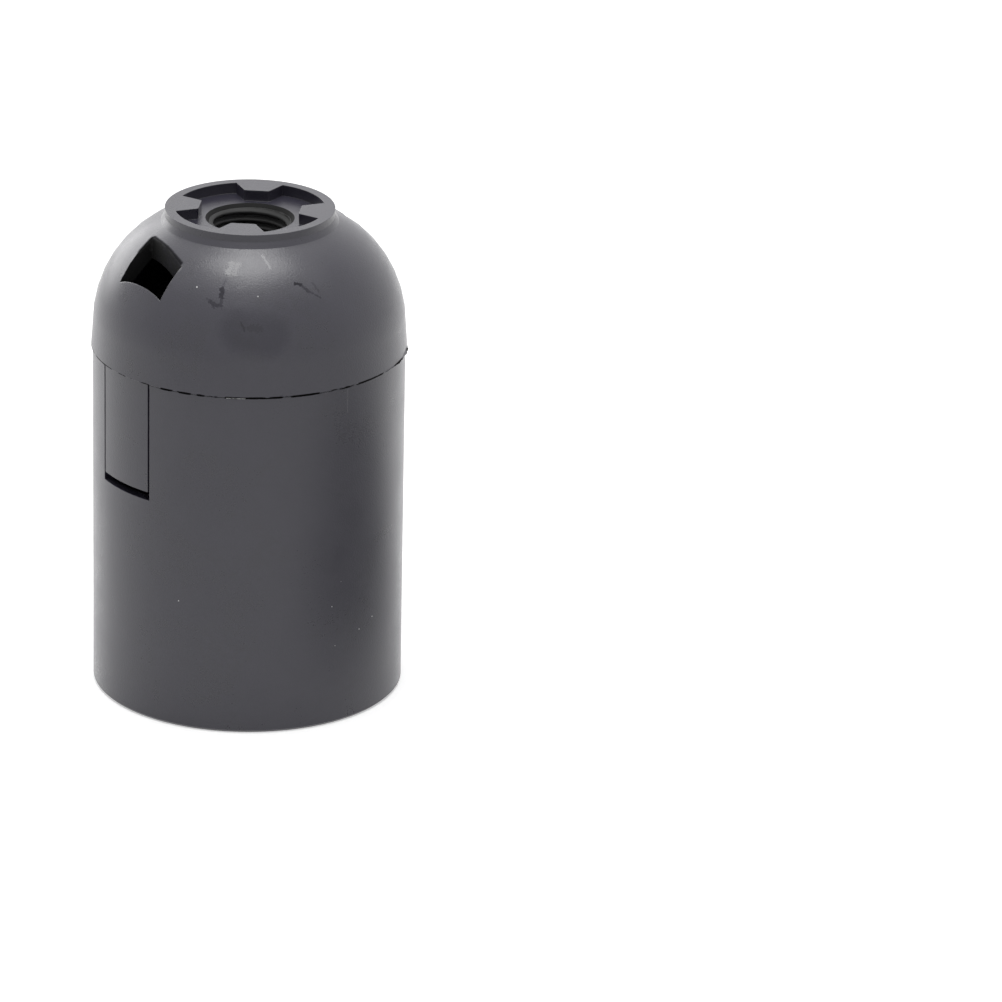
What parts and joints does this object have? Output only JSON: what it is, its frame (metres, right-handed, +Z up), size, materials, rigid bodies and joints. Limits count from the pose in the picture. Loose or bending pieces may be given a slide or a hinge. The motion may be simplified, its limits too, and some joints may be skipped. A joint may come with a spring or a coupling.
{
  "type": "edison screw lamp holder",
  "caption": "Upright pendant lamp holder with a plain straight skirt, rounded snap-fit dome, windowed shoulder, toothed pipe collar and inner screw thread for a lamp.",
  "frame": {"origin": "centre of the mouth's rim, in the plane that the holder stands on", "axes": "+Z up along the lamp axis to the pipe collar; the snap tongues and windows lie on +X and -X, the terminals on +Y (centre contact) and -Y (side contact)"},
  "size_m": [0.0384, 0.0384, 0.0609],
  "materials": {
    "dark_plastic": "satin moulded",
    "block_plastic": "matt moulded",
    "spring_brass": "rolled spring strip",
    "brass": "pressed sheet",
    "zinc_steel": "zinc plated"
  },
  "bodies": {
    "holder_body": {"skirt": "dark_plastic", "contact_block": "block_plastic", "centre_terminal": "brass", "side_terminal": "brass"},
    "dome_cover": {"dome": "dark_plastic"},
    "centre_spring": {"centre_contact": "spring_brass"},
    "side_spring": {"side_contact": "spring_brass"},
    "centre_clamp_screw": {"centre_screw": "zinc_steel", "centre_clamp": "zinc_steel"},
    "side_clamp_screw": {"side_screw": "zinc_steel", "side_clamp": "zinc_steel"}
  },
  "joints": [
    {"name": "dome_pull_off", "type": "slide", "parent": "holder_body", "child": "dome_cover", "axis": [0, 0, 1], "range_m": [0, 0.022]},
    {"name": "centre_contact_flex", "type": "hinge", "parent": "holder_body", "child": "centre_spring", "pos_m": [0, 0.0108, 0.03475], "axis": [-1, 0, 0], "range_deg": [0, 7], "stiffness_Nm_per_rad": 0.2},
    {"name": "side_contact_flex", "type": "hinge", "parent": "holder_body", "child": "side_spring", "pos_m": [0, -0.0128, 0.03475], "axis": [-1, 0, 0], "range_deg": [0, 6], "stiffness_Nm_per_rad": 0.1},
    {"name": "centre_screw_loosen", "type": "slide", "parent": "holder_body", "child": "centre_clamp_screw", "axis": [0, 0, 1], "range_m": [0, 0.0025]},
    {"name": "side_screw_loosen", "type": "slide", "parent": "holder_body", "child": "side_clamp_screw", "axis": [0, 0, 1], "range_m": [0, 0.0025]}
  ]
}
